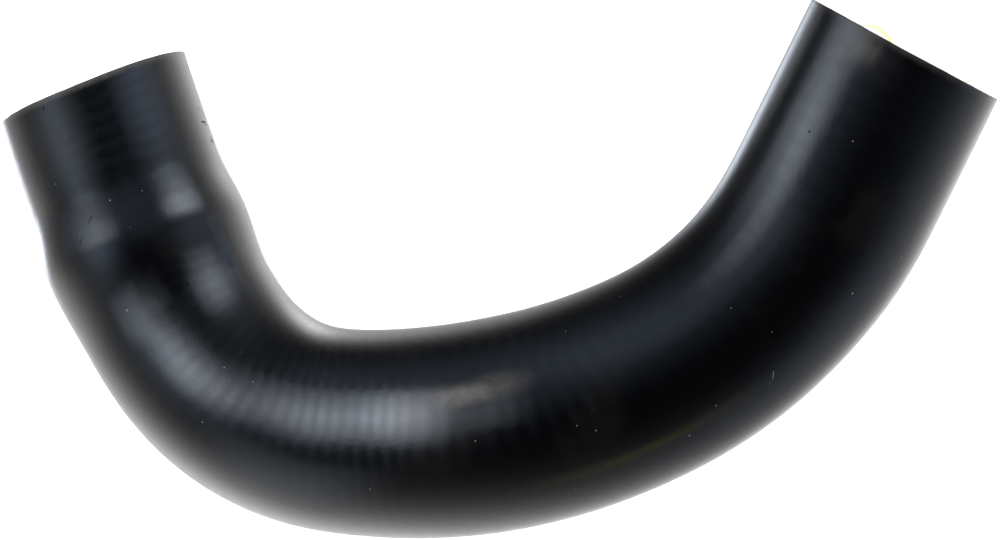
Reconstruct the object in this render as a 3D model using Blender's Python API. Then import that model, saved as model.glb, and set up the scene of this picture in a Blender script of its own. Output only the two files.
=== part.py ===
"""Moulded rubber charge air hose, lying on its side on the floor plane.

The hose is one piece: a bore of changing diameter with an even wall round it, led along a flat
centre line of straight legs and bends. All sizes are in metres and degrees.
"""

from math import cos, pi, radians, sin, tan

import bmesh
import bpy
from mathutils import Vector

# Wall and bore diameters, from the small end to the large end
WALL = 0.0050
SMALL_BORE = 0.0500
BELL_BORE = 0.0544
NECK_BORE = 0.0514
SWELL_BORE = 0.0550
WAIST_BORE = 0.0521
LARGE_BORE = 0.0533

# Parallel cuff that takes the small clamp, and the bell behind it that stops the hose slipping off
SMALL_CUFF = 0.031
BELL_RISE = 0.020
BELL_FALL = 0.023

# Centre line, stretch by stretch: arc length and how far it turns to the left
SMALL_LEG = 0.0607
SMALL_LEG_TURN = 5.4
LEAD_IN = 0.0280
LEAD_IN_TURN = 13.8
TIGHT_BEND = 0.0500
TIGHT_BEND_TURN = 48.6
SWEEP = 0.0975
SWEEP_TURN = 30.7
WIDE_BEND = 0.0782
WIDE_BEND_TURN = 37.9
LARGE_LEG = 0.0487
LARGE_LEG_TURN = -0.3
FIRST_HEADING = -72.5

# Length over which one stretch's bend rate passes into the next one's
BEND_BLEND = 0.022

# How far each knife cut is off square: skew turns the cut face to the left, lean sets back its top
SMALL_CUT_SKEW = 4.3
SMALL_CUT_LEAN = -0.6
LARGE_CUT_SKEW = -2.4
LARGE_CUT_LEAN = 2.0

# Facets round the hose and along it
SIDES = 40
STATION_STEP = 0.0072
FINE_STEPS_PER_STATION = 16

COVER_COLOUR = (0.012, 0.013, 0.016, 1.0)
COVER_ROUGHNESS = 0.42

STRETCHES = (
    (SMALL_LEG, SMALL_LEG_TURN),
    (LEAD_IN, LEAD_IN_TURN),
    (TIGHT_BEND, TIGHT_BEND_TURN),
    (SWEEP, SWEEP_TURN),
    (WIDE_BEND, WIDE_BEND_TURN),
    (LARGE_LEG, LARGE_LEG_TURN),
)


def clear_scene():
    for obj in list(bpy.data.objects):
        bpy.data.objects.remove(obj)


def eased(share):
    """0 to 1 with a level start and finish, for a share of the way from one value to the next."""
    share = min(1.0, max(0.0, share))
    return share * share * (3 - 2 * share)


def stretch_ends():
    """How far along the hose each stretch begins, and at the last entry the hose's full length."""
    ends = [0.0]
    for length, _ in STRETCHES:
        ends.append(ends[-1] + length)
    return ends


def bend_rate(along):
    """Degrees of turn for each metre of centre line, eased from one stretch to the next."""
    rates = [turn / length for length, turn in STRETCHES]
    rate = rates[0]
    for start, before, after in zip(stretch_ends()[1:], rates, rates[1:]):
        rate += (after - before) * eased((along - start) / BEND_BLEND + 0.5)
    return rate


def bore_stations():
    """Where along the hose the bore reaches each named diameter."""
    ends = stretch_ends()
    bell = SMALL_CUFF + BELL_RISE

    def middle(stretch):
        return (ends[stretch] + ends[stretch + 1]) / 2

    return (
        (0.0, SMALL_BORE),
        (SMALL_CUFF, SMALL_BORE),
        (bell, BELL_BORE),
        (bell + BELL_FALL, NECK_BORE),
        (middle(2), NECK_BORE),
        (middle(3), SWELL_BORE),
        (middle(4), WAIST_BORE),
        (ends[5], LARGE_BORE),
        (ends[6], LARGE_BORE),
    )


def bore_radius(along):
    stations = bore_stations()
    for (start, before), (end, after) in zip(stations, stations[1:]):
        if along <= end:
            return (before + (after - before) * eased((along - start) / (end - start))) / 2
    return stations[-1][1] / 2


def centre_line():
    """Stations evenly spaced along the hose: (distance along, x, y, heading in radians)."""
    length = stretch_ends()[-1]
    count = round(length / STATION_STEP)
    step = length / (count * FINE_STEPS_PER_STATION)
    x, y, heading = 0.0, 0.0, radians(FIRST_HEADING)
    stations = [(0.0, x, y, heading)]
    for fine in range(1, count * FINE_STEPS_PER_STATION + 1):
        half_turn = radians(bend_rate((fine - 0.5) * step)) * step / 2
        x += cos(heading + half_turn) * step
        y += sin(heading + half_turn) * step
        heading += 2 * half_turn
        if fine % FINE_STEPS_PER_STATION == 0:
            stations.append((fine * step, x, y, heading))
    return stations


def section_slopes(along, length):
    """Skew and lean of the section as slopes: the knife's at each end, dying out along its leg."""
    at_small_end = eased(1 - along / SMALL_CUFF)
    at_large_end = eased(1 - (length - along) / LARGE_LEG)
    skew = tan(radians(SMALL_CUT_SKEW)) * at_small_end + tan(radians(LARGE_CUT_SKEW)) * at_large_end
    lean = tan(radians(LARGE_CUT_LEAN)) * at_large_end - tan(radians(SMALL_CUT_LEAN)) * at_small_end
    return skew, lean


def ring(bm, station, radius, lift, length):
    """Vertices of one loop across the hose. Its centre is lifted so that the cover lies on the floor."""
    along, x, y, heading = station
    forward = Vector((cos(heading), sin(heading), 0.0))
    left = Vector((-sin(heading), cos(heading), 0.0))
    centre = Vector((x, y, lift))
    skew, lean = section_slopes(along, length)
    verts = []
    for side in range(SIDES):
        angle = 2 * pi * side / SIDES
        across = radius * cos(angle)
        height = radius * sin(angle)
        point = centre + left * across - forward * (across * skew + height * lean)
        point.z += height
        verts.append(bm.verts.new(point))
    return verts


def hose_mesh():
    """The skin runs out along the cover, turns in over the cut face and comes back through the bore."""
    bm = bmesh.new()
    stations = centre_line()
    length = stations[-1][0]
    cover, bore = [], []
    for station in stations:
        inner = bore_radius(station[0])
        outer = inner + WALL
        cover.append(ring(bm, station, outer, outer, length))
        bore.append(ring(bm, station, inner, outer, length))
    loops = cover + bore[::-1]
    for here, after in zip(loops, loops[1:] + loops[:1]):
        for side in range(SIDES):
            bm.faces.new((here[side - 1], here[side], after[side], after[side - 1]))
    bmesh.ops.recalc_face_normals(bm, faces=bm.faces)
    corners = [vert.co for vert in bm.verts]
    low = Vector(min(corner[axis] for corner in corners) for axis in range(3))
    high = Vector(max(corner[axis] for corner in corners) for axis in range(3))
    middle = (low + high) / 2
    bmesh.ops.translate(bm, verts=bm.verts, vec=(-middle.x, -middle.y, -low.z))
    mesh = bpy.data.meshes.new("hose")
    bm.to_mesh(mesh)
    bm.free()
    return mesh


def rubber():
    material = bpy.data.materials.new("black_rubber")
    material.use_nodes = True
    shader = material.node_tree.nodes["Principled BSDF"]
    shader.inputs["Base Color"].default_value = COVER_COLOUR
    shader.inputs["Roughness"].default_value = COVER_ROUGHNESS
    shader.inputs["Metallic"].default_value = 0.0
    return material


def make_hose():
    mesh = hose_mesh()
    mesh.shade_smooth()
    mesh.set_sharp_from_angle(angle=radians(40))
    mesh.materials.append(rubber())
    hose = bpy.data.objects.new("hose", mesh)
    bpy.context.scene.collection.objects.link(hose)
    return hose


clear_scene()
make_hose()
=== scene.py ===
"""Charge air hose: fine surface, cut ends, loose yarn and studio, laid out as a Blender add-on.

The hose is one moulded piece that lies on its side on the floor plane. Its skin is worked out on a
grid: one way runs along the cover, over the cut end, back through the bore and over the other cut
end, and the other way runs round the section. Lengths are in metres.
"""
from math import cos, pi, radians, sin, tan

import bpy
import numpy as np
from bpy.props import FloatProperty, FloatVectorProperty, IntProperty, PointerProperty
from mathutils import Matrix, Vector


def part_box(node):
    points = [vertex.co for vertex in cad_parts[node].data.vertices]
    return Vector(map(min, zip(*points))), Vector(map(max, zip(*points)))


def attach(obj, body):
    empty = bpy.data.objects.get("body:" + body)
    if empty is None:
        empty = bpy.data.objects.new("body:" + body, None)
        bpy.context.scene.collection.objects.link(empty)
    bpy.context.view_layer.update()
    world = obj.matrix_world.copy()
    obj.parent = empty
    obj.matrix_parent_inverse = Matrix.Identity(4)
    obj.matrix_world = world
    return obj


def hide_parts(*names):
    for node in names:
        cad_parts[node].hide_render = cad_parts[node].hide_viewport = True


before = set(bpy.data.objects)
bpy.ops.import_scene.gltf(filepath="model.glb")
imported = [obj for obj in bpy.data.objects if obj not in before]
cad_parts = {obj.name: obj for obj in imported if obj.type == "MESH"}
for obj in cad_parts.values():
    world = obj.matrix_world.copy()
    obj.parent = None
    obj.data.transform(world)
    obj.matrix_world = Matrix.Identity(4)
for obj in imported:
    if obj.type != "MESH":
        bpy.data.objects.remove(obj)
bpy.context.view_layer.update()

bl_info = {
    "name": "Charge Air Hose",
    "version": (1, 0, 0),
    "blender": (4, 5, 0),
    "location": "3D View > Sidebar > Hose",
    "description": "Skin, cut ends, yarn and studio of a moulded rubber charge air hose",
    "category": "Add Mesh",
}

MM = 0.001

# Faces round the section, and the steps between loops along the cover and the bore
SIDES = 120
FINE_STEP = 0.0005
PLAIN_STEP = 0.0008
BORE_STEP = 0.0030
CENTRE_LINE_STEPS = 4000
CORNER_STEPS = 3
CUT_FACE_STEPS = 9
YARN_STEPS = 60
YARN_SIDES = 8
FLOOR_RINGS = 24
FLOOR_SIDES = 96

# Radius of the floor's middle ring, and how far the floor lies below the hose
FLOOR_MIDDLE = 0.05
FLOOR_GAP = 0.0003

# Size and place of the light over the floor
WASH_SIZE = 3.0
WASH_PLACE = (0.0, 0.3, 2.6)

# How quickly the knife wandered and tore round the section, in waves, and how far back it shows
WANDER_MODES = range(2, 8)
TORN_MODES = range(18, 40)
CUT_REACH = 0.008

# Lengths that the cover's broad waves are drawn from, and how many there are of each kind
WAVE_LENGTHS = (0.025, 0.080)
WAVES_OF_A_KIND = 3

# Strength of the cloth's ribs away from where they are strongest, and low on the sides. They are
# whole for so many degrees either side of the middle of their print, and fade over as many more
WEAK_RIBS = 0.35
LOW_RIBS = 0.25
RIB_MIDDLE = 70
RIB_REACH = 15
RIB_FADE = 28

# Which finish each strip of the skin has
COVER, CUT, BORE = range(3)

# Names of the attributes that hold each point's place on the hose as if it were laid straight, and
# how far up a rib of the cloth's print it lies, from -1 in a groove to 1 on a crest
STRAIGHT = "laid_straight"
RIBS = "cloth_ribs"


def distance(name, description, default):
    return FloatProperty(name=name, description=description, default=default, precision=5, unit="LENGTH")


def angle(name, description, degrees):
    return FloatProperty(name=name, description=description, default=radians(degrees), unit="ROTATION")


def share(name, description, default):
    return FloatProperty(
        name=name, description=description, default=default, min=0.0, max=1.0, subtype="FACTOR"
    )


def colour(name, description, default):
    return FloatVectorProperty(
        name=name, description=description, default=default, size=3, min=0.0, max=1.0, subtype="COLOR"
    )


class HoseSizes(bpy.types.PropertyGroup):
    """Wall, bores, centre line and knife cuts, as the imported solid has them."""

    wall: distance("Wall", "Thickness of the moulded wall", 0.0050)
    small_bore: distance("Small bore", "Bore of the small cuff", 0.0500)
    bell_bore: distance("Bell bore", "Bore of the bell behind the small cuff", 0.0544)
    neck_bore: distance("Neck bore", "Bore of the neck into the tight bend", 0.0514)
    swell_bore: distance("Swell bore", "Bore in the middle of the sweep", 0.0550)
    waist_bore: distance("Waist bore", "Bore in the middle of the wide bend", 0.0521)
    large_bore: distance("Large bore", "Bore of the large cuff", 0.0533)
    small_cuff: distance("Small cuff", "Length of the parallel cuff at the small end", 0.031)
    bell_rise: distance("Bell rise", "Length over which the bell widens", 0.020)
    bell_fall: distance("Bell fall", "Length over which the bell narrows", 0.023)
    small_leg: distance("Small leg", "Arc length of the small leg", 0.0607)
    small_leg_turn: angle("Small leg turn", "Turn of the small leg", 5.4)
    lead_in: distance("Lead-in", "Arc length of the lead into the tight bend", 0.0280)
    lead_in_turn: angle("Lead-in turn", "Turn of the lead into the tight bend", 13.8)
    tight_bend: distance("Tight bend", "Arc length of the tight bend", 0.0500)
    tight_bend_turn: angle("Tight bend turn", "Turn of the tight bend", 48.6)
    sweep: distance("Sweep", "Arc length of the sweep between the bends", 0.0975)
    sweep_turn: angle("Sweep turn", "Turn of the sweep", 30.7)
    wide_bend: distance("Wide bend", "Arc length of the wide bend", 0.0782)
    wide_bend_turn: angle("Wide bend turn", "Turn of the wide bend", 37.9)
    large_leg: distance("Large leg", "Arc length of the large leg", 0.0487)
    large_leg_turn: angle("Large leg turn", "Turn of the large leg", -0.3)
    first_heading: angle("First heading", "Way the centre line sets out from the small end", -72.5)
    bend_blend: distance("Bend blend", "Length over which one bend rate passes into the next", 0.022)
    small_cut_skew: angle("Small cut skew", "How far the small cut turns to the left", 4.3)
    small_cut_lean: angle("Small cut lean", "How far the small cut sets back its top", -0.6)
    large_cut_skew: angle("Large cut skew", "How far the large cut turns to the left", -2.4)
    large_cut_lean: angle("Large cut lean", "How far the large cut sets back its top", 2.0)
    cut_edge: distance("Cut edge", "Radius of the edge that the knife leaves", 0.00012)


class HoseSurface(bpy.types.PropertyGroup):
    """Marks that the wrapping cloth and the knife left in the rubber."""

    rib_pitch: distance("Rib pitch", "Distance between the cloth's ribs at the small end", 0.0047)
    wide_rib_pitch: distance("Wide rib pitch", "Distance between the ribs past the band", 0.0066)
    rib_height: distance("Rib height", "Height of the cloth's ribs", 0.000024)
    rib_start: distance("Rib start", "Where the ribs grow strong", 0.080)
    rib_change: distance("Rib change", "Where the ribs change to the wide pitch", 0.165)
    rib_end: distance("Rib end", "Where the ribs grow weak again", 0.240)
    wave_height: distance("Wave height", "Height of the broad unevenness of the cover", 0.00004)
    large_cut_rock: distance("Large cut rock", "How far out the knife left the large cut's top", 0.0004)
    cut_hollow: distance("Cut hollow", "How far in the cuts are between their sides", 0.0003)
    cut_wave: distance("Cut wave", "How far the knife wandered", 0.00015)
    cut_jag: distance("Cut jag", "How far the cut edge is torn", 0.00006)
    seed: IntProperty(name="Seed", description="Draws the unevenness", default=7)


class RubberFinish(bpy.types.PropertyGroup):
    """Colours and gloss of the rubber."""

    cover: colour("Cover", "Colour of the cover", (0.0003, 0.0003, 0.0004))
    bloom: colour("Bloom", "Colour of the haze on the cover", (0.0014, 0.0012, 0.0010))
    # The pale brown of the dust, of the haze at the rims and of the painted highlight on the sweep band
    rubbed_and_sheen: colour("Rubbed", "Colour where the cover is dusty or rubbed", (0.060, 0.053, 0.045))
    dust: colour("Dust", "Colour of dust specks", (0.16, 0.16, 0.15))
    cut: colour("Cut", "Colour of the freshly cut wall", (0.010, 0.010, 0.011))
    bore: colour("Bore", "Colour of the inner tube", (0.004, 0.004, 0.0045))
    cover_roughness: share("Cover roughness", "Roughness of the cover", 0.20)
    rim_haze: distance("Rim haze", "How far the rubbed haze reaches from each cut", 0.0025)
    rib_polish: share("Rib polish", "How much smoother the cloth's ribs are on their crests", 0.085)
    cut_roughness: share("Cut roughness", "Roughness of the cut wall", 0.55)
    bore_roughness: share("Bore roughness", "Roughness of the inner tube", 0.38)


class YarnSizes(bpy.types.PropertyGroup):
    """The reinforcing yarn that shows at the cut ends."""

    strand: distance("Strand", "Radius of one strand of the yarn", 0.00014)
    twist: FloatProperty(name="Twist", description="Turns of the strands round the loop", default=1.6)
    cut_end: distance("Cut end", "Radius of a yarn where the knife cut it", 0.00035)
    ends: IntProperty(name="Ends", description="Yarns cut through at each end", default=56)
    tone: colour("Tone", "Colour of the yarn", (0.66, 0.64, 0.30))
    seed: IntProperty(name="Seed", description="Draws the places of the cut yarns", default=3)


class Studio(bpy.types.PropertyGroup):
    """Camera, floor and lights."""

    camera_place: FloatVectorProperty(
        name="Camera place", description="Where the camera stands", size=3,
        default=(0.1496, 0.0163, 1.3585), subtype="TRANSLATION", unit="LENGTH",
    )
    camera_aim: FloatVectorProperty(
        name="Camera aim", description="What the camera looks at", size=3,
        default=(0.0018, -0.0001, 0.0315), subtype="TRANSLATION", unit="LENGTH",
    )
    camera_lens: FloatProperty(
        name="Camera lens", description="Focal length in millimetres", default=158.4, unit="CAMERA"
    )
    floor_radius: distance("Floor radius", "How far the floor reaches", 40.0)
    floor_tone: colour("Floor tone", "Colour of the floor", (0.86, 0.86, 0.86))
    wash_power: FloatProperty(
        name="Wash power", description="Power of the light over the floor", default=260.0, unit="POWER"
    )


# Tones of the light: walls and ceiling are blue, the lamps less so, the paper is nearly plain, and
# one card is olive
SKY_TONE = (0.62, 0.76, 1.0)
LAMP_TONE = (0.80, 0.88, 1.0)
PAPER_TONE = (0.99, 0.99, 1.0)
OLIVE_TONE = (0.85, 0.85, 0.10)

# Soft fill all round the table: azimuth, zenith angle and spread in degrees, strength and tone
SOFT_FILL = (
    ("left_wall", 165, 80, 15, 1.0, SKY_TONE),
    ("right_wall", 20, 65, 25, 0.8, SKY_TONE),
    ("left_ceiling", 190, 45, 20, 1.6, SKY_TONE),
    ("near_right_wall", 320, 95, 25, 0.5, SKY_TONE),
    ("far_wall", 110, 55, 30, 0.7, SKY_TONE),
    ("ceiling", 70, 20, 15, 0.2, SKY_TONE),
    ("near_left_floor", 235, 120, 40, 2.6, PAPER_TONE),
    ("far_floor", 75, 135, 18, 4.0, PAPER_TONE),
    ("right_floor", 15, 140, 40, 2.0, PAPER_TONE),
    ("left_floor", 170, 145, 10, 7.0, LAMP_TONE),
)

# Small softboxes with a honeycomb in front, each set up where the camera sees it mirrored in one
# spot of the cover: the spot's millimetres along and degrees round, how far off the box stands, its
# length and width in millimetres, the degrees that its honeycomb lets through, its glow and its tone
SOFTBOXES = (
    ("cuff_left", 12, 106, 20, 50, 75, 90, 0.4, PAPER_TONE),
    ("cuff_right", 10, 55, 45, 60, 95, 100, 0.8, SKY_TONE),
    ("bell_left", 44.5, 104, 20, 25, 50, 55, 3.5, LAMP_TONE),
    ("bell_right", 45, 53, 20, 25, 42, 55, 6.0, LAMP_TONE),
    ("neck_left", 70, 105, 25, 15, 35, 60, 1.8, LAMP_TONE),
    ("neck_shoulder", 62, 38.5, 12, 35, 9, 80, 1.2, SKY_TONE),
    ("neck_right", 72.5, 55, 18, 17, 60, 60, 4.2, LAMP_TONE),
    ("outer_start", 86, 97, 25, 45, 65, 50, 4.5, LAMP_TONE),
    ("outer_band", 98, 92, 40, 50, 70, 60, 3.2, LAMP_TONE),
    ("outer_low", 128, 120, 45, 100, 90, 80, 1.0, LAMP_TONE),
    ("sweep_start", 120, 86, 25, 70, 45, 60, 1.8, LAMP_TONE),
    ("sweep_middle", 145, 79, 35, 60, 90, 65, 5.5, LAMP_TONE),
    ("sweep_end", 163, 79, 22, 38, 65, 75, 4.0, LAMP_TONE),
    ("sweep_tail", 184, 80, 22, 45, 40, 60, 1.4, LAMP_TONE),
    ("olive_card", 228, 128, 60, 160, 16, 60, 0.4, OLIVE_TONE),
    ("wide_bend_start", 230, 70, 50, 60, 90, 60, 0.3, SKY_TONE),
    ("wide_bend_end", 270, 75, 60, 60, 40, 100, 0.3, SKY_TONE),
    ("large_inner", 345, 27, 60, 80, 60, 90, 0.7, LAMP_TONE),
    ("large_start", 305, 64, 75, 105, 55, 45, 2.0, LAMP_TONE),
    ("large_end", 345, 60, 40, 125, 100, 60, 3.6, LAMP_TONE),
)

# Share of a softbox's front, from its middle out, that glows at its full strength: along the hose
# and across it
SOFTBOX_CORE = {"X": 0.15, "Y": 0.5}

# Share of a mark's reach, from its middle out, that is marked at its full strength
MARK_CORE = 0.3

# Marks on the cover, each at its millimetres along and degrees round, with its reach in millimetres
PITS = (
    ("cuff_pit", 22.3, 6, 0.5),
    ("cuff_nick", 28.0, 4, 0.6),
    ("outer_pit", 328.4, 65, 0.35),
)
SPECKS = (
    ("cuff_speck", 25.6, 121, 0.24),
    ("bell_speck", 36.3, 91, 0.26),
    ("middle_speck", 37.0, 72, 0.18),
    ("neck_speck", 46.3, 85, 0.26),
    ("tick", 68.1, 106, 0.34),
    ("bend_speck", 99.4, 66, 0.24),
    ("outer_speck", 104.4, 111, 0.20),
    ("band_speck", 109.8, 75, 0.24),
    ("low_speck", 151.3, 119, 0.24),
    ("top_speck", 161.3, 65, 0.24),
    ("patch_speck", 183.1, 95, 0.22),
    ("dark_speck", 212.8, 100, 0.24),
    ("dark_pair_speck", 217.4, 106, 0.22),
    ("inner_speck", 218.3, 47, 0.26),
    ("inner_far_speck", 240.0, 38, 0.20),
    ("olive_speck", 249.4, 124, 0.26),
    ("leg_speck", 269.4, 85, 0.30),
    ("leg_low_speck", 273.3, 110, 0.20),
    ("outer_far_speck", 294.4, 132, 0.32),
    ("edge_speck", 308.3, 150, 0.36),
    ("large_speck", 331.7, 89, 0.24),
)

# Marks that run from one spot to another, with their width in millimetres and how strong they are
SCRATCHES = (
    ("bell_scratch", (38.7, 104), (45.2, 116), 0.18, 0.35),
    ("rim_scratch", (2.2, 111), (3.3, 112), 0.20, 0.5),
    ("cuff_line", (17.4, 8), (20.7, 0), 0.15, 0.4),
    ("cuff_tear", (21.9, 10), (21.9, 3), 0.30, 0.9),
    ("cuff_tear_end", (22.3, 1), (23.2, 5), 0.28, 0.6),
    ("cuff_cut", (26.9, 2), (28.7, 0), 0.38, 0.9),
)
HAIRS = (
    ("hair", (266.3, 129), (264.7, 133), 0.16, 0.5),
    ("hair_tip", (264.7, 133), (263.1, 134), 0.13, 0.5),
    ("wrap_seam_start", (88.0, 95.5), (94.0, 94.0), 0.30, 0.16),
    ("wrap_seam", (93.5, 94.5), (101.0, 93.5), 0.30, 0.14),
    ("wrap_seam_end", (104.0, 91.5), (112.0, 90.0), 0.30, 0.09),
)

# Fine dust: cells to the metre, share of the cells that hold a speck, and its radius in cells
DUST_CELLS = 150.0
DUST_SHARE = 0.18
DUST_SIZE = 0.03

# How pale the fine dust and the bits lie on the rubber, how strong the pale haze is at each rim,
# and the share of each pale brown patch, of dust and of painted sheen alike, that isn't mottled
DUST_PALENESS = 0.5
BIT_PALENESS = 0.8
SMALL_RIM_HAZE = 0.5
LARGE_RIM_HAZE = 0.15
EVEN_SMEAR_AND_SHEEN = 0.6

# Yarn that hangs out of the large cut: degrees round, millimetres beyond the cut, and millimetres
# that its strands lie apart
YARN_LOOP = (
    (61.5, -0.8, 0.05),
    (63.5, 0.50, 0.08),
    (67.5, 1.30, 0.20),
    (71.0, 1.90, 0.48),
    (74.0, 1.80, 0.55),
    (77.5, 1.35, 0.52),
    (81.0, 0.95, 0.46),
    (84.0, -0.8, 0.25),
)
YARN_STUB = (
    (136.4, -0.6, 0.10),
    (137.0, 0.30, 0.16),
    (137.8, 0.95, 0.22),
)

# A yarn's cut end: how far each of its rings stands out of the cut in millimetres, and its width
# as a share of the yarn's
PEG_HEIGHTS = (-0.30, -0.02, 0.02, 0.04)
PEG_WIDTHS = (1.0, 1.0, 0.85, 0.45)

# Pale brown patches: the one at the large rim is dust, the two on the sweep are dust with a painted
# highlight in them, and the band patch is a painted highlight on the sweep band. Each has its spot,
# then reach along and across in millimetres, and how strong
RUBBED_AND_SHEEN = (
    ("sweep_smear_and_sheen", 180, 70, 14, 5, 0.6),
    ("sweep_smear_and_sheen_end", 192, 68, 16, 6, 0.35),
    ("rim_smear", 358, 72, 8, 8, 0.3),
    ("band_painted_sheen", 165, 77, 18, 10, 0.2),
)


def eased(part):
    """0 to 1 with a level start and finish: three times the square less twice the cube."""
    part = np.clip(part, 0.0, 1.0)
    return part * part * (3 - 2 * part)


def stretches(sizes):
    """Arc length and turn of each stretch of the centre line, from the small end."""
    return (
        (sizes.small_leg, sizes.small_leg_turn),
        (sizes.lead_in, sizes.lead_in_turn),
        (sizes.tight_bend, sizes.tight_bend_turn),
        (sizes.sweep, sizes.sweep_turn),
        (sizes.wide_bend, sizes.wide_bend_turn),
        (sizes.large_leg, sizes.large_leg_turn),
    )


def stretch_ends(sizes):
    return np.concatenate(([0.0], np.cumsum([length for length, _ in stretches(sizes)])))


def bend_rate(sizes, along):
    """Turn for each metre of centre line: each stretch's own, eased over into the next one's."""
    rates = [turn / length for length, turn in stretches(sizes)]
    rate = np.full_like(along, rates[0])
    for start, before, after in zip(stretch_ends(sizes)[1:], rates, rates[1:]):
        rate += (after - before) * eased((along - start) / sizes.bend_blend + 0.5)
    return rate


def bore_radius(sizes, along):
    """Half the bore: it eases from each named diameter to the next between their stations."""
    ends = stretch_ends(sizes)
    middles = (ends[1:] + ends[:-1]) / 2
    bell = sizes.small_cuff + sizes.bell_rise
    stations = (
        (sizes.small_cuff, sizes.small_bore),
        (bell, sizes.bell_bore),
        (bell + sizes.bell_fall, sizes.neck_bore),
        (middles[2], sizes.neck_bore),
        (middles[3], sizes.swell_bore),
        (middles[4], sizes.waist_bore),
        (ends[5], sizes.large_bore),
    )
    bore = np.full_like(along, sizes.small_bore)
    for (start, before), (end, after) in zip(stations, stations[1:]):
        bore += (after - before) * eased((along - start) / (end - start))
    return bore / 2


def centre_line(sizes, along):
    """Place and heading of the centre line at each distance along it.

    The heading is the first heading plus the running sum of the bend rate, and the place is the
    running sum of small steps taken in that heading.
    """
    stations = np.linspace(0.0, stretch_ends(sizes)[-1], CENTRE_LINE_STEPS + 1)
    step = stations[1]
    turns = bend_rate(sizes, stations[:-1] + step / 2) * step
    heading = sizes.first_heading + np.concatenate(([0.0], np.cumsum(turns)))
    half_way = (heading[1:] + heading[:-1]) / 2
    x = np.concatenate(([0.0], np.cumsum(np.cos(half_way) * step)))
    y = np.concatenate(([0.0], np.cumsum(np.sin(half_way) * step)))
    return [np.interp(along, stations, values) for values in (x, y, heading)]


def section_slopes(sizes, along):
    """Skew and lean of the section as slopes: the knife's at each end, dying out along its leg."""
    at_small = eased(1 - along / sizes.small_cuff)
    at_large = eased(1 - (stretch_ends(sizes)[-1] - along) / sizes.large_leg)
    skew = tan(sizes.small_cut_skew) * at_small + tan(sizes.large_cut_skew) * at_large
    lean = tan(sizes.large_cut_lean) * at_large - tan(sizes.small_cut_lean) * at_small
    return skew, lean


def on_hose(sizes, along, depth, around, forward):
    """Points of the hose from their distance along it, depth into the wall and angle round it.

    The section is a circle about the centre line, which is lifted by the cover's radius so that
    the cover lies on the floor. Skew and lean push each point along the hose in proportion to how
    far left or up it is, and forward pushes it on by so much again.
    """
    x, y, heading = centre_line(sizes, along)
    cover = bore_radius(sizes, along) + sizes.wall
    skew, lean = section_slopes(sizes, along)
    across = (cover - depth) * np.cos(around)
    height = (cover - depth) * np.sin(around)
    onward = forward - across * skew - height * lean
    return np.stack(np.broadcast_arrays(
        x - np.sin(heading) * across + np.cos(heading) * onward,
        y + np.cos(heading) * across + np.sin(heading) * onward,
        cover + height,
    ), axis=-1)


def skin_rows(sizes):
    """Distance along, depth and finish of each loop of the skin, in one round trip of the wall.

    The trip runs along the cover, round a quarter circle into the large cut face, down that face,
    round into the bore, back through the bore and over the small cut face in the same way.
    """
    length = stretch_ends(sizes)[-1]
    edge = sizes.cut_edge
    fine_end = stretch_ends(sizes)[4]
    corner = np.linspace(0.0, pi / 2, CORNER_STEPS, endpoint=False)
    into = edge * (1 - np.cos(corner))
    onto = edge * np.sin(corner)
    face = np.linspace(edge, sizes.wall - edge, CUT_FACE_STEPS, endpoint=False)
    cover = np.concatenate((
        np.arange(edge, fine_end, FINE_STEP),
        np.linspace(fine_end, length - edge, round((length - fine_end) / PLAIN_STEP), endpoint=False),
    ))
    bore = np.linspace(length - edge, edge, round(length / BORE_STEP), endpoint=False)
    parts = (
        (cover, 0 * cover, COVER),
        (length - edge + onto, into, CUT),
        (length + 0 * face, face, CUT),
        (length - into, sizes.wall - edge + onto, CUT),
        (bore, sizes.wall + 0 * bore, BORE),
        (edge - onto, sizes.wall - into, CUT),
        (0 * face, sizes.wall - face, CUT),
        (into, edge - onto, CUT),
    )
    along = np.concatenate([part[0] for part in parts])
    depth = np.concatenate([part[1] for part in parts])
    finish = np.concatenate([np.full(len(part[0]), part[2]) for part in parts])
    return along, depth, finish


def wander(random, around, modes):
    """A closed wavy line of unit height: a sum of sines round the section, weaker as they quicken."""
    line = np.zeros_like(around)
    for mode in modes:
        line += np.sin(mode * around + random.uniform(0, 2 * pi)) * random.uniform(0.5, 1.0) / mode
    return line / np.abs(line).max()


def cut_line(sizes, surface, along, depth, around):
    """How far the knife wandered and tore, at each end, dying out a little way from the cut.

    It cut a little hollow between the two sides. At the large end it also rocked: it left the top
    further out than the solid has it and the bottom as much further in.
    """
    random = np.random.default_rng(surface.seed)
    length = stretch_ends(sizes)[-1]
    total = np.zeros(np.broadcast_shapes(along.shape, around.shape))
    ends = ((along, -1, 0.0), (length - along, 1, surface.large_cut_rock))
    for gap, outward, rock in ends:
        slow = wander(random, around, WANDER_MODES)
        torn_outside = wander(random, around, TORN_MODES)
        torn_inside = wander(random, around, TORN_MODES)
        inward = depth / sizes.wall
        torn = torn_outside * (1 - inward) + torn_inside * inward
        strayed = surface.cut_wave * slow + surface.cut_jag * torn + rock * np.sin(around)
        strayed -= outward * surface.cut_hollow * np.sin(around) ** 2
        total += eased(1 - gap / CUT_REACH) * strayed
    return total


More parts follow.
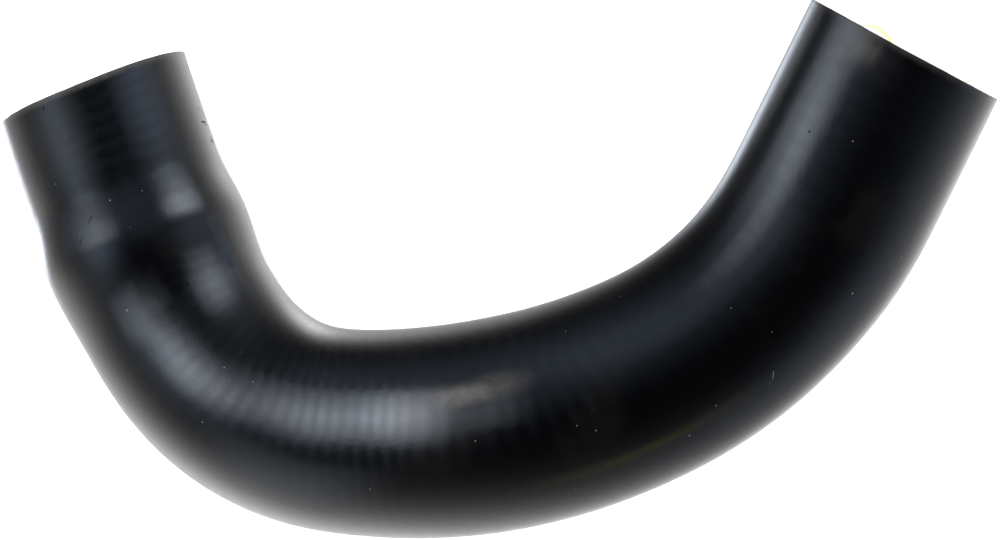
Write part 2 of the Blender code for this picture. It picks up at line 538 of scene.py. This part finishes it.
def cloth_ribs(sizes, surface, along, around):
    """The print of the wrapping cloth: a cosine along the hose whose phase drifts round and along it.

    Its pitch changes once on the way. It is at its full strength on the small cuff and between rib
    start and rib end, weaker elsewhere, and weakest low on both sides.
    """
    narrow = np.minimum(along, surface.rib_change) / surface.rib_pitch
    wide = np.maximum(along - surface.rib_change, 0.0) / surface.wide_rib_pitch
    drift = 0.30 * np.sin(around + 1.0) + 0.10 * np.sin(3 * around + along / 0.02)
    ribs = np.cos(2 * pi * (narrow + wide + drift + 0.15 * np.sin(along / 0.0113)))
    strong = eased((along - surface.rib_start) / 0.02) * eased((surface.rib_end - along) / 0.03)
    strong = np.maximum(strong, 1 - eased((along - sizes.small_cuff) / 0.01))
    patchy = 0.7 + 0.3 * np.sin(along / 0.0053 + 1.3) * np.sin(2 * around + along / 0.011)
    low = eased((np.abs(around - radians(RIB_MIDDLE)) - radians(RIB_REACH)) / radians(RIB_FADE))
    strength = WEAK_RIBS + (1 - WEAK_RIBS) * strong
    return ribs * strength * patchy * (1 - (1 - LOW_RIBS) * low)


def cover_relief(sizes, surface, along, around):
    """How far the cover stands proud: ribs of the wrapping cloth on broad uneven waves.

    The waves are a sum of products of a sine along the hose and a sine round it.
    """
    random = np.random.default_rng(surface.seed + 1)
    waves = np.zeros(np.broadcast_shapes(along.shape, around.shape))
    for mode in range(1, 7):
        for _ in range(WAVES_OF_A_KIND):
            length = random.uniform(*WAVE_LENGTHS)
            phase = random.uniform(0, 2 * pi, 2)
            waves += np.sin(2 * pi * along / length + phase[0]) * np.sin(mode * around + phase[1]) / mode
    ribs = surface.rib_height * cloth_ribs(sizes, surface, along, around)
    return surface.wave_height * waves / WAVES_OF_A_KIND + ribs


def add_object(name, data):
    item = bpy.data.objects.new(name, data)
    bpy.context.scene.collection.objects.link(item)
    return item


def smooth_piece(name, points, faces, materials, finish=0):
    """An object with its place in its mesh, shaded smooth. Finish numbers each face's material."""
    mesh = bpy.data.meshes.new(name)
    mesh.from_pydata(points.reshape(-1, 3), [], faces)
    for material in materials:
        mesh.materials.append(material)
    mesh.polygons.foreach_set("material_index", np.full(len(faces), finish, dtype=np.int32))
    mesh.shade_smooth()
    mesh.update()
    return add_object(name, mesh)


def closed_grid_faces(rows, sides):
    """Four-cornered faces of a grid that closes both ways, wound so that they face outwards."""
    here = np.arange(rows)[:, None] * sides
    after = (np.arange(rows)[:, None] + 1) % rows * sides
    side = np.arange(sides)[None, :]
    beside = (side + 1) % sides
    corners = (here + side, here + beside, after + beside, after + side)
    return np.stack(corners, axis=-1).reshape(-1, 4)


def write_attribute(mesh, name, kind, field, values):
    attribute = mesh.attributes.new(name, kind, "POINT")
    attribute.data.foreach_set(field, values.astype(np.float32).ravel())


def seat(sizes):
    """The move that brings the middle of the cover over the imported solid's, and down onto its foot."""
    along = np.linspace(0.0, stretch_ends(sizes)[-1], CENTRE_LINE_STEPS)[:, None]
    around = 2 * pi * np.arange(SIDES)[None, :] / SIDES
    cover = on_hose(sizes, along, 0.0, around, 0.0)
    low, high = (np.array(corner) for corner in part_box("hose"))
    shift = (low + high) / 2 - (cover.min(axis=(0, 1)) + cover.max(axis=(0, 1))) / 2
    shift[2] = low[2]
    return shift


def build_wall(sizes, surface, materials):
    """The hose's whole skin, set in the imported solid's box."""
    along, depth, finish = skin_rows(sizes)
    along = along[:, None]
    depth = depth[:, None]
    around = (2 * pi * np.arange(SIDES)[None, :] / SIDES + pi) % (2 * pi) - pi
    shift = seat(sizes)
    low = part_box("hose")[0]
    relief = cover_relief(sizes, surface, along, around) * (1 - depth / sizes.wall)
    points = on_hose(sizes, along, depth - relief, around, cut_line(sizes, surface, along, depth, around))
    points += shift
    points[..., 2] = np.maximum(points[..., 2], low.z)
    faces = closed_grid_faces(len(along), SIDES)
    wall = smooth_piece("charge_air_hose", points, faces, materials, np.repeat(finish, SIDES))
    radius = bore_radius(sizes, along) + sizes.wall - depth
    straight = np.stack(np.broadcast_arrays(along, radius * np.cos(around), radius * np.sin(around)), -1)
    write_attribute(wall.data, STRAIGHT, "FLOAT_VECTOR", "vector", straight)
    ribs = np.broadcast_to(cloth_ribs(sizes, surface, along, around), straight.shape[:-1])
    write_attribute(wall.data, RIBS, "FLOAT", "value", ribs)
    return wall


def flowing(points, count):
    """Points on a smooth line through the given ones: between two of them runs the cubic that
    leaves each one along half the way from the one before it to the one after it."""
    points = np.array(points, dtype=float)
    padded = np.vstack((2 * points[0] - points[1], points, 2 * points[-1] - points[-2]))
    leaving = (padded[2:] - padded[:-2]) / 2
    part = np.linspace(0.0, len(points) - 1, count)
    piece = np.minimum(part.astype(int), len(points) - 2)
    part = (part - piece)[:, None]
    swing = part * part * (3 - 2 * part)
    out = part * (1 - part) * (1 - part)
    back = part * part * (1 - part)
    start, end = points[piece], points[piece + 1]
    return start + swing * (end - start) + out * leaving[piece] - back * leaving[piece + 1]


def unit(vectors):
    return vectors / np.linalg.norm(vectors, axis=-1, keepdims=True)


def frames(lines):
    """Two directions square to each line and to one another. No line runs straight up."""
    along = unit(np.gradient(lines, axis=1))
    side = unit(np.cross(np.array((0.0, 0.0, 1.0)), along))
    return side, np.cross(along, side)


def tubes(name, lines, radii, material):
    """Round tubes along many lines of equally many points, closed at both ends."""
    count, steps = lines.shape[:2]
    sides = YARN_SIDES
    side, lift = frames(lines)
    turn = 2 * pi * np.arange(sides) / sides
    ring = side[:, :, None] * np.cos(turn)[:, None] + lift[:, :, None] * np.sin(turn)[:, None]
    points = lines[:, :, None] + ring * radii[:, :, None, None]
    tube = np.arange(count)[:, None, None] * steps * sides
    here = tube + np.arange(steps - 1)[None, :, None] * sides
    corner = np.arange(sides)[None, None, :]
    beside = (corner + 1) % sides
    walls = np.stack((here + corner, here + beside, here + sides + beside, here + sides + corner), -1)
    starts = tube[:, 0] + corner[0, :, ::-1]
    caps = np.concatenate((starts, tube[:, 0] + (steps - 1) * sides + corner[0]))
    return smooth_piece(name, points, walls.reshape(-1, 4).tolist() + caps.tolist(), [material])


def build_yarn(name, sizes, yarn, route, strands, material):
    """Twisted yarn that comes out of the middle of the wall at the large cut.

    One strand runs down the middle and the others wind round it: each is the route's line plus its
    spread in a direction that turns with the way along it.
    """
    around, beyond, spread = flowing(route, YARN_STEPS).T
    length = stretch_ends(sizes)[-1]
    middle = on_hose(sizes, np.array(length), sizes.wall / 2, np.radians(around), beyond * MM)
    middle = np.repeat((middle + seat(sizes))[None], strands, axis=0)
    side, lift = frames(middle)
    strand = np.arange(strands)[:, None]
    turn = 2 * pi * (strand / (strands - 1) + yarn.twist * np.linspace(0.0, 1.0, YARN_STEPS))
    apart = (spread * MM * np.minimum(strand, 1))[..., None]
    lines = middle + apart * (side * np.cos(turn)[..., None] + lift * np.sin(turn)[..., None])
    return tubes(name, lines, np.full(lines.shape[:2], yarn.strand), material)


def build_yarn_ends(sizes, surface, yarn, material):
    """The yarns that the knife cut through, in the middle of the wall at both ends.

    Each stands a little proud of the cut as a short round peg that narrows at its tip.
    """
    random = np.random.default_rng(yarn.seed)
    length = stretch_ends(sizes)[-1]
    proud = np.array(PEG_HEIGHTS) * MM
    pegs = []
    for along, outward in ((0.0, -1), (length, 1)):
        around = 2 * pi * (np.arange(yarn.ends) + random.uniform(-0.25, 0.25, yarn.ends)) / yarn.ends
        depth = sizes.wall / 2 + random.uniform(-0.25, 0.25, yarn.ends) * MM
        cut = cut_line(sizes, surface, np.full(yarn.ends, along), depth, around)
        forward = cut[:, None] + outward * proud
        pegs.append(on_hose(sizes, np.array(along), depth[:, None], around[:, None], forward))
    pegs = np.concatenate(pegs) + seat(sizes)
    radii = yarn.cut_end * random.uniform(0.75, 1.2, len(pegs))[:, None] * np.array(PEG_WIDTHS)
    return tubes("yarn_ends", pegs, radii, material)


class Wire:
    """A socket that Python's operators work on: each one adds the Math node it stands for."""

    def __init__(self, bench, socket):
        self.bench = bench
        self.socket = socket

    def __add__(self, other):
        return self.bench.math("ADD", self, other)

    def __sub__(self, other):
        return self.bench.math("SUBTRACT", self, other)

    def __mul__(self, other):
        return self.bench.math("MULTIPLY", self, other)

    def __rsub__(self, other):
        return self.bench.math("SUBTRACT", other, self)

    def __lt__(self, other):
        return self.bench.math("LESS_THAN", self, other)

    def __gt__(self, other):
        return self.bench.math("GREATER_THAN", self, other)

    __radd__ = __add__
    __rmul__ = __mul__


class Bench:
    """Where the nodes of one material or world are put together."""

    def __init__(self, tree):
        self.tree = tree
        tree.nodes.clear()

    def node(self, kind, settings=None, inputs=None):
        """Adds a node, sets it up, then fills or links its sockets. Sockets go by name or number."""
        node = self.tree.nodes.new("ShaderNode" + kind)
        for name, value in (settings or {}).items():
            setattr(node, name, value)
        for name, value in (inputs or {}).items():
            if isinstance(value, Wire):
                self.tree.links.new(value.socket, node.inputs[name])
            else:
                node.inputs[name].default_value = value
        return node

    def wire(self, kind, output, settings=None, inputs=None):
        return Wire(self, self.node(kind, settings, inputs).outputs[output])

    def laid(self):
        """The place on the hose as if it were laid straight."""
        return self.wire("Attribute", "Vector", {"attribute_name": STRAIGHT})

    def math(self, operation, *values):
        return self.wire("Math", 0, {"operation": operation}, dict(enumerate(values)))

    def eased(self, value, low, high):
        """0 below low, 1 above high, with a smooth step between."""
        inputs = {"Value": value, "From Min": low, "From Max": high}
        return self.wire("MapRange", "Result", {"interpolation_type": "SMOOTHSTEP"}, inputs)

    def blend(self, factor, first, second):
        """The first colour where the factor is 0 and the second where it is 1."""
        inputs = {0: factor, 6: first, 7: second}
        return self.wire("Mix", 2, {"data_type": "RGBA"}, inputs)

    def noise(self, place, scale, detail=2.0, roughness=0.5):
        inputs = {"Vector": place, "Scale": scale, "Detail": detail, "Roughness": roughness}
        return self.wire("TexNoise", "Fac", None, inputs)

    def vector(self, operation, *values, output=0):
        return self.wire("VectorMath", output, {"operation": operation}, dict(enumerate(values)))

    def length(self, vector):
        return self.vector("LENGTH", vector, output="Value")

    def dot(self, first, second):
        return self.vector("DOT_PRODUCT", first, second, output="Value")

    def spot(self, place, centre, reach):
        """1 at the centre, easing to 0 at the reach away from it."""
        away = self.length(self.vector("SUBTRACT", place, centre))
        return 1 - self.eased(away, MARK_CORE * reach, reach)

    def streak(self, place, start, end, width):
        """1 on the straight line from start to end, easing to 0 at the width away from it."""
        run = end - start
        off = self.vector("SUBTRACT", place, start)
        onward = self.wire("Clamp", 0, None, {"Value": self.dot(off, run / run.length_squared)})
        on_line = self.wire("VectorMath", 0, {"operation": "SCALE"}, {0: run, "Scale": onward})
        away = self.length(self.vector("SUBTRACT", off, on_line))
        return 1 - self.eased(away, MARK_CORE * width, width)

    def patch(self, place, centre, scales):
        """1 at the centre, easing to 0 where the offset times its scales is one long."""
        off = self.stretched(self.vector("SUBTRACT", place, centre), scales)
        return 1 - self.eased(self.length(off), 0.0, 1.0)

    def stretched(self, place, scales):
        """The place with each of its axes scaled by its own number."""
        return self.vector("MULTIPLY", place, scales)

    def bump(self, height, depth):
        return self.wire("Bump", "Normal", None, {"Height": height, "Distance": depth, "Strength": 1.0})


def new_material(name):
    material = bpy.data.materials.new(name)
    material.use_nodes = True
    return material, Bench(material.node_tree)


def finish_material(bench, inputs):
    shader = bench.wire("BsdfPrincipled", "BSDF", None, inputs)
    bench.node("OutputMaterial", None, {"Surface": shader})


def opaque(tone):
    return (*tone, 1.0)


def laid_straight(sizes, along, around):
    """A spot of the cover as the laid_straight attribute has it, from millimetres and degrees."""
    along = along * MM
    radius = float(bore_radius(sizes, np.array(along))) + sizes.wall
    return Vector((along, radius * cos(radians(around)), radius * sin(radians(around))))


def spots(bench, sizes, place, table):
    """The sum of the table's round marks."""
    return sum(bench.spot(place, laid_straight(sizes, *at), reach * MM) for _, *at, reach in table)


def streaks(bench, sizes, place, table):
    """The sum of the table's straight marks, each times its strength."""
    total = 0.0
    for _, start, end, width, strength in table:
        ends = (laid_straight(sizes, *start), laid_straight(sizes, *end))
        total = total + bench.streak(place, *ends, width * MM) * strength
    return total


def rubbed_and_sheen_patches(bench, sizes, place):
    """The sum of the pale brown patches of dust and painted highlight, each times its strength."""
    total = 0.0
    for _, along, around, reach_along, reach_across, strength in RUBBED_AND_SHEEN:
        scales = (1 / (reach_along * MM), 1 / (reach_across * MM), 1 / (reach_across * MM))
        total = total + bench.patch(place, laid_straight(sizes, along, around), scales) * strength
    return total


def cover_material(finish, sizes):
    """Black rubber that took the print of its wrapping cloth, with dust, pits and scratches with painted
    shade in them, and pale brown patches of dust and painted highlight.
    """
    material, bench = new_material("cover_rubber")
    place = bench.laid()
    ribs = bench.wire("Attribute", "Fac", {"attribute_name": RIBS})
    clouds = bench.noise(place, 38.0, 3.0)
    mottle = bench.noise(bench.stretched(place, (260.0, 380.0, 380.0)), 1.0, 3.0, 0.5)
    along = bench.wire("SeparateXYZ", "X", None, {0: place})
    length = float(stretch_ends(sizes)[-1])
    grain = bench.noise(place, 850.0, 3.0, 0.6)
    cells = bench.node("TexVoronoi", None, {"Vector": place, "Scale": DUST_CELLS})
    away = Wire(bench, cells.outputs["Distance"])
    draw = bench.wire("SeparateColor", 0, None, {"Color": Wire(bench, cells.outputs["Color"])})
    speck = (away < DUST_SIZE) * (draw > 1 - DUST_SHARE)
    # Pits and scratches, pressed into the bump, with painted shade in them below
    dents_and_shade = spots(bench, sizes, place, PITS) + streaks(bench, sizes, place, SCRATCHES)
    bits = spots(bench, sizes, place, SPECKS) + streaks(bench, sizes, place, HAIRS)
    haze = bench.eased(clouds, 0.5, 0.75)
    rim = 1 - bench.eased(along, 0.0, finish.rim_haze)
    rim = rim * SMALL_RIM_HAZE
    rim = rim + bench.eased(along, length - finish.rim_haze, length) * LARGE_RIM_HAZE
    uneven = EVEN_SMEAR_AND_SHEEN + bench.eased(mottle, 0.25, 0.75) * (1 - EVEN_SMEAR_AND_SHEEN)
    # Painted highlight: the band patch and part of the two sweep patches stand in for the gloss of the
    # sweep band; the rest is dust and the pale haze at each rim
    smear_and_sheen = (rubbed_and_sheen_patches(bench, sizes, place) + rim) * uneven
    base = bench.blend(haze, opaque(finish.cover), opaque(finish.bloom))
    base = bench.blend(smear_and_sheen, base, opaque(finish.rubbed_and_sheen))
    broken = bench.eased(grain, 0.35, 0.65)
    dusty = bits * broken * BIT_PALENESS + speck * DUST_PALENESS
    base = bench.blend(dusty, base, opaque(finish.dust))
    roughness = finish.cover_roughness + (clouds - 0.5) * 0.08 + (mottle - 0.5) * 0.12
    roughness = roughness + smear_and_sheen * 0.15 + (speck + bits) * 0.4 - ribs * finish.rib_polish
    rubber = bench.wire("BsdfPrincipled", "BSDF", None, {
        "Base Color": base,
        "Roughness": roughness,
        "Normal": bench.bump(grain * 0.08 + mottle * 0.12 - dents_and_shade, 0.00025),
        "IOR": 1.5,
    })
    # Painted shade in the pits and scratches: there the gloss is turned almost off, so they show dark as
    # if shaded inside
    hole = bench.wire("BsdfPrincipled", "BSDF", None, {
        "Base Color": opaque(finish.cover), "Roughness": 0.9, "Specular IOR Level": 0.05,
    })
    surface = bench.wire("MixShader", 0, None, {0: dents_and_shade, 1: rubber, 2: hole})
    bench.node("OutputMaterial", None, {"Surface": surface})
    return material


def cut_material(finish):
    """The knife's dull cut through the wall, with fine drag lines all one way."""
    material, bench = new_material("cut_rubber")
    place = bench.laid()
    drag = bench.noise(bench.stretched(place, (1.0, 40.0, 1400.0)), 1.0, 3.0)
    pores = bench.noise(place, 1500.0, 2.0)
    finish_material(bench, {
        "Base Color": bench.blend(drag, opaque(finish.bore), opaque(finish.cut)),
        "Roughness": finish.cut_roughness + (drag - 0.5) * 0.3,
        "Normal": bench.bump(drag + pores * 0.5, 0.00008),
    })
    return material


def bore_material(finish):
    """The inner tube, smooth from the core it was cured on, with faint lines along it."""
    material, bench = new_material("bore_rubber")
    place = bench.laid()
    lines = bench.noise(bench.stretched(place, (12.0, 500.0, 500.0)), 1.0, 3.0)
    clouds = bench.noise(place, 60.0)
    finish_material(bench, {
        "Base Color": bench.blend(clouds, opaque(finish.bore), opaque(finish.cut)),
        "Roughness": finish.bore_roughness + (clouds - 0.5) * 0.15,
        "Normal": bench.bump(lines, 0.00003),
    })
    return material


def yarn_material(yarn):
    """Pale yellow fibre, a little deeper in tone in fine streaks."""
    material, bench = new_material("yarn_fibre")
    place = bench.wire("TexCoord", "Object")
    fibre = bench.noise(bench.stretched(place, (3000.0, 6000.0, 6000.0)), 1.0, 2.0)
    deeper = opaque([part * part for part in yarn.tone])
    finish_material(bench, {
        "Base Color": bench.blend(fibre * 0.5, opaque(yarn.tone), deeper),
        "Roughness": 0.7,
        "Normal": bench.bump(fibre, 0.00003),
    })
    return material


def floor_material(studio):
    """Pale matt studio paper."""
    material, bench = new_material("studio_paper")
    place = bench.wire("TexCoord", "Object")
    fibre = bench.noise(place, 300.0)
    pale = studio.floor_tone
    finish_material(bench, {
        "Base Color": bench.blend(fibre * 0.04, opaque(pale), opaque([0.9 * part for part in pale])),
        "Roughness": 0.8,
    })
    return material


def build_floor(studio):
    """A round sheet under the hose: rings of points whose radius grows by an even ratio."""
    reach = studio.floor_radius / FLOOR_MIDDLE
    radius = FLOOR_MIDDLE * reach ** (np.arange(FLOOR_RINGS) / (FLOOR_RINGS - 1))
    turn = 2 * pi * np.arange(FLOOR_SIDES) / FLOOR_SIDES
    x = radius[:, None] * np.cos(turn)
    y = radius[:, None] * np.sin(turn)
    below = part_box("hose")[0].z - FLOOR_GAP
    points = np.stack((x, y, np.full_like(x, below)), axis=-1).reshape(-1, 3)
    points = np.vstack((points, [[0.0, 0.0, below]]))
    ring = np.arange(FLOOR_RINGS - 1)[:, None] * FLOOR_SIDES
    side = np.arange(FLOOR_SIDES)[None, :]
    beside = (side + 1) % FLOOR_SIDES
    outer = ring + FLOOR_SIDES
    quads = np.stack((ring + side, outer + side, outer + beside, ring + beside), -1)
    middle = np.full(FLOOR_SIDES, len(points) - 1)
    fan = np.stack((middle, side[0], beside[0]), axis=-1)
    faces = quads.reshape(-1, 4).tolist() + fan.tolist()
    floor = smooth_piece("studio_floor", points, faces, [floor_material(studio)])
    floor.visible_glossy = False
    return floor


def sky_direction(azimuth, zenith):
    azimuth = radians(azimuth)
    zenith = radians(zenith)
    return (sin(zenith) * cos(azimuth), sin(zenith) * sin(azimuth), cos(zenith))


def build_sky():
    """Soft lamps all round, over plain white for the camera itself.

    Each glows by its strength times e to the power of a negative number: how far the cosine of the
    angle from its middle is below 1, over how far the cosine of its spread is.
    """
    world = bpy.data.worlds.new("studio_lamps")
    world.use_nodes = True
    bench = Bench(world.node_tree)
    place = bench.wire("TexCoord", "Object")
    lamps = None
    for tone in (SKY_TONE, LAMP_TONE, PAPER_TONE):
        glow = 0.0
        for _, azimuth, zenith, spread, strength, lamp_tone in SOFT_FILL:
            if lamp_tone == tone:
                facing = bench.dot(place, sky_direction(azimuth, zenith))
                narrow = 1 / (1 - cos(radians(spread)))
                glow = glow + bench.math("EXPONENT", (facing - 1.0) * narrow) * strength
        lamp = bench.wire("Background", 0, None, {"Color": opaque(tone), "Strength": glow})
        lamps = bench.wire("AddShader", 0, None, {0: lamps, 1: lamp}) if lamps else lamp
    white = bench.wire("Background", 0, None, {"Color": (1.0, 1.0, 1.0, 1.0), "Strength": 1.0})
    seen = bench.wire("LightPath", "Is Camera Ray")
    both = bench.wire("MixShader", 0, None, {0: seen, 1: lamps, 2: white})
    bench.node("OutputWorld", None, {"Surface": both})
    bpy.context.scene.world = world


def mirrored_sight(sizes, shift, along, around, eye):
    """A spot of the cover, the way the sight line goes on from it when mirrored, and the hose's run.

    The normal is the cross product of the ways round and along the cover, and the mirrored sight
    line is the sight line less twice its share of the normal.
    """
    small = 1e-5

    def cover(onward, sideways):
        return Vector(on_hose(sizes, np.array(along + onward), 0.0, around + sideways, 0.0) + shift)

    spot = cover(0.0, 0.0)
    run = (cover(small, 0.0) - cover(-small, 0.0)).normalized()
    normal = (cover(0.0, small) - cover(0.0, -small)).cross(run).normalized()
    sight = (spot - eye).normalized()
    return spot, sight - 2 * sight.dot(normal) * normal, run


def soften(bench):
    """A cloth front that glows evenly in the middle and fades out smoothly to all four edges."""
    front = bench.wire("NewGeometry", "Parametric")
    glow = 1.0
    for side, core in SOFTBOX_CORE.items():
        across = bench.wire("SeparateXYZ", side, None, {0: front})
        off_middle = bench.math("ABSOLUTE", across * 2 - 1.0)
        glow = glow * (1 - bench.eased(off_middle, core, 1.0))
    light = bench.wire("Emission", 0, None, {"Strength": glow})
    bench.node("OutputLight", None, {"Surface": light})


def build_softbox(sizes, studio, name, along, around, away, length, width, comb, glow, tone):
    """A softbox that faces its spot of the hose. It shows in the rubber's gloss and nowhere else.

    Blender keeps the power the same when the honeycomb narrows the light, so the power is scaled by
    the share of light that the honeycomb lets through: 1 less half the comb's angle over its tangent.
    """
    eye = Vector(studio.camera_place)
    spot, mirrored, run = mirrored_sight(sizes, seat(sizes), along * MM, radians(around), eye)
    lamp = bpy.data.lights.new(name, "AREA")
    lamp.shape = "RECTANGLE"
    lamp.size = length * MM
    lamp.size_y = width * MM
    half = radians(comb) / 2
    lamp.spread = radians(comb)
    lamp.energy = glow * pi * lamp.size * lamp.size_y * (1 - half / tan(half))
    lamp.color = tone
    lamp.use_nodes = True
    soften(Bench(lamp.node_tree))
    box = add_object(name, lamp)
    across = mirrored.cross(run).normalized()
    turned = Matrix((across.cross(mirrored), across, mirrored)).transposed().to_4x4()
    box.matrix_world = Matrix.Translation(spot + away * MM * mirrored) @ turned
    box.visible_camera = False
    box.visible_diffuse = False


def build_wash(studio):
    """A broad light straight above that only brightens the floor."""
    lamp = bpy.data.lights.new("floor_wash", "AREA")
    lamp.shape = "DISK"
    lamp.size = WASH_SIZE
    lamp.energy = studio.wash_power
    wash = add_object("floor_wash", lamp)
    wash.location = WASH_PLACE
    wash.visible_glossy = False
    wash.visible_camera = False


def build_camera(studio):
    """A long lens looking down, with the far edge of the table at the top of the picture."""
    lens = bpy.data.cameras.new("camera")
    lens.lens = studio.camera_lens
    lens.clip_end = 200.0
    camera = add_object("camera", lens)
    back = (Vector(studio.camera_place) - Vector(studio.camera_aim)).normalized()
    right = Vector((0.0, 1.0, 0.0)).cross(back).normalized()
    turned = Matrix((right, back.cross(right), back)).transposed().to_4x4()
    camera.matrix_world = Matrix.Translation(studio.camera_place) @ turned
    bpy.context.scene.camera = camera


class HOSE_OT_wall(bpy.types.Operator):
    """Make the hose's wall: cover, cut ends and bore"""

    bl_idname = "charge_hose.wall"
    bl_label = "Hose Wall"

    def execute(self, context):
        scene = context.scene
        finish = scene.hose_rubber
        cover = cover_material(finish, scene.hose_sizes)
        materials = (cover, cut_material(finish), bore_material(finish))
        wall = build_wall(scene.hose_sizes, scene.hose_surface, materials)
        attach(wall, "root")
        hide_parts("hose")
        return {"FINISHED"}


class HOSE_OT_yarn(bpy.types.Operator):
    """Make the reinforcing yarn that shows at the cut ends"""

    bl_idname = "charge_hose.yarn"
    bl_label = "Reinforcing Yarn"

    def execute(self, context):
        scene = context.scene
        sizes, yarn = scene.hose_sizes, scene.hose_yarn
        fibre = yarn_material(yarn)
        pieces = (
            build_yarn("yarn_loop", sizes, yarn, YARN_LOOP, 7, fibre),
            build_yarn("yarn_stub", sizes, yarn, YARN_STUB, 4, fibre),
            build_yarn_ends(sizes, scene.hose_surface, yarn, fibre),
        )
        for piece in pieces:
            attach(piece, "root")
        return {"FINISHED"}


class HOSE_OT_studio(bpy.types.Operator):
    """Make the camera, the floor and the lights"""

    bl_idname = "charge_hose.studio"
    bl_label = "Studio"

    def execute(self, context):
        studio = context.scene.hose_studio
        build_camera(studio)
        floor = build_floor(studio)
        build_sky()
        build_wash(studio)
        for softbox in SOFTBOXES:
            build_softbox(context.scene.hose_sizes, studio, *softbox)
        context.scene.view_settings.view_transform = "Standard"
        return {"FINISHED"}


class HOSE_PT_sidebar(bpy.types.Panel):
    """Lists the hose's sizes and the steps that make it"""

    bl_label = "Charge Air Hose"
    bl_idname = "HOSE_PT_sidebar"
    bl_space_type = "VIEW_3D"
    bl_region_type = "UI"
    bl_category = "Hose"

    def draw(self, context):
        for operator in OPERATORS:
            self.layout.operator(operator.bl_idname)
        for group in SETTINGS:
            box = self.layout.box()
            settings = getattr(context.scene, group)
            for name in settings.bl_rna.properties.keys():
                if name not in {"rna_type", "name"}:
                    box.prop(settings, name)


OPERATORS = (HOSE_OT_studio, HOSE_OT_wall, HOSE_OT_yarn)
SETTINGS = {
    "hose_sizes": HoseSizes,
    "hose_surface": HoseSurface,
    "hose_rubber": RubberFinish,
    "hose_yarn": YarnSizes,
    "hose_studio": Studio,
}


def register():
    for group in SETTINGS.values():
        bpy.utils.register_class(group)
    for name, group in SETTINGS.items():
        setattr(bpy.types.Scene, name, PointerProperty(type=group))
    for operator in OPERATORS:
        bpy.utils.register_class(operator)
    bpy.utils.register_class(HOSE_PT_sidebar)


def unregister():
    bpy.utils.unregister_class(HOSE_PT_sidebar)
    for operator in reversed(OPERATORS):
        bpy.utils.unregister_class(operator)
    for name in SETTINGS:
        delattr(bpy.types.Scene, name)
    for group in reversed(SETTINGS.values()):
        bpy.utils.unregister_class(group)


def main():
    register()
    bpy.ops.charge_hose.studio()
    bpy.ops.charge_hose.wall()
    bpy.ops.charge_hose.yarn()


if __name__ == "__main__":
    main()
